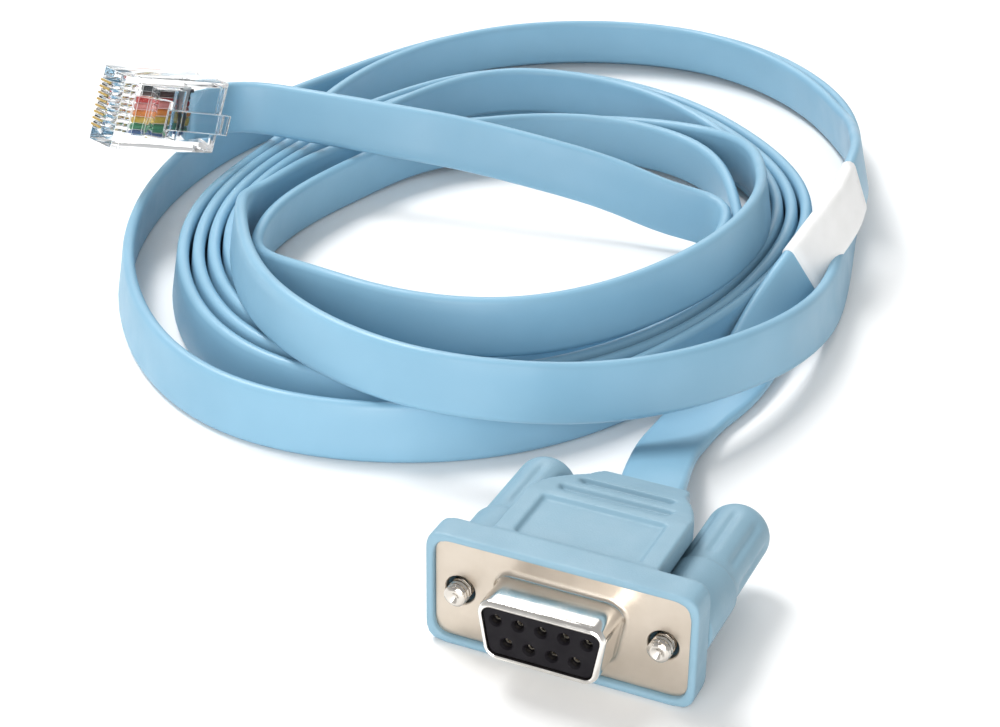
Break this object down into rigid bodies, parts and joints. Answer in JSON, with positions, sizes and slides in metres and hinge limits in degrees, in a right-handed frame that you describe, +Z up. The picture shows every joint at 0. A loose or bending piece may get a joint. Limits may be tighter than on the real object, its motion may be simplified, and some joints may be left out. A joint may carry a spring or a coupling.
{
  "type": "console cable",
  "caption": "Flat serial console cable lying in a loose coil, with a clear modular plug on one end and a D-sub socket connector with thumbscrews on the other.",
  "frame": {"origin": "centre of the D-sub connector's footprint on the floor, without the cord and what is on it", "axes": "+Z up, +Y from the connector's mating face back along its hood, +X to the right when looking along +Y"},
  "size_m": [0.1297, 0.1866, 0.0269],
  "materials": {
    "blue_vinyl": "satin moulded and extruded vinyl",
    "nickel": "satin nickel plating",
    "black_plastic": "satin",
    "gold": "bright gold plating",
    "clear_plastic": "clear and glossy",
    "label_vinyl": "bare, lightly glossy wrap",
    "wire_black": "smooth",
    "wire_brown": "smooth",
    "wire_red": "smooth",
    "wire_pink": "smooth",
    "wire_orange": "smooth",
    "wire_yellow": "smooth",
    "wire_green": "smooth",
    "wire_blue": "smooth"
  },
  "bodies": {
    "cable": {"connector_hood": "blue_vinyl", "front_shell": "nickel", "socket_insert": "black_plastic", "socket_contact_1": "gold", "socket_contact_2": "gold", "socket_contact_3": "gold", "socket_contact_4": "gold", "socket_contact_5": "gold", "socket_contact_6": "gold", "socket_contact_7": "gold", "socket_contact_8": "gold", "socket_contact_9": "gold", "plug_body": "clear_plastic", "plug_contact_1": "gold", "plug_contact_2": "gold", "plug_contact_3": "gold", "plug_contact_4": "gold", "plug_contact_5": "gold", "plug_contact_6": "gold", "plug_contact_7": "gold", "plug_contact_8": "gold", "conductor_1": "wire_black", "conductor_2": "wire_brown", "conductor_3": "wire_red", "conductor_4": "wire_pink", "conductor_5": "wire_orange", "conductor_6": "wire_yellow", "conductor_7": "wire_green", "conductor_8": "wire_blue", "cable_to_plug": "blue_vinyl", "cable_coil": "blue_vinyl", "cable_to_connector": "blue_vinyl", "cable_label": "label_vinyl"},
    "left_thumbscrew": {"left_thumb_grip": "blue_vinyl", "left_jackscrew": "nickel"},
    "right_thumbscrew": {"right_thumb_grip": "blue_vinyl", "right_jackscrew": "nickel"}
  },
  "joints": [
    {"name": "left_thumbscrew_turn", "type": "hinge", "parent": "cable", "child": "left_thumbscrew", "pos_m": [-0.0125, 0, 0.0075], "axis": [0, 1, 0], "continuous": true},
    {"name": "right_thumbscrew_turn", "type": "hinge", "parent": "cable", "child": "right_thumbscrew", "pos_m": [0.0125, 0, 0.0075], "axis": [0, 1, 0], "continuous": true}
  ]
}
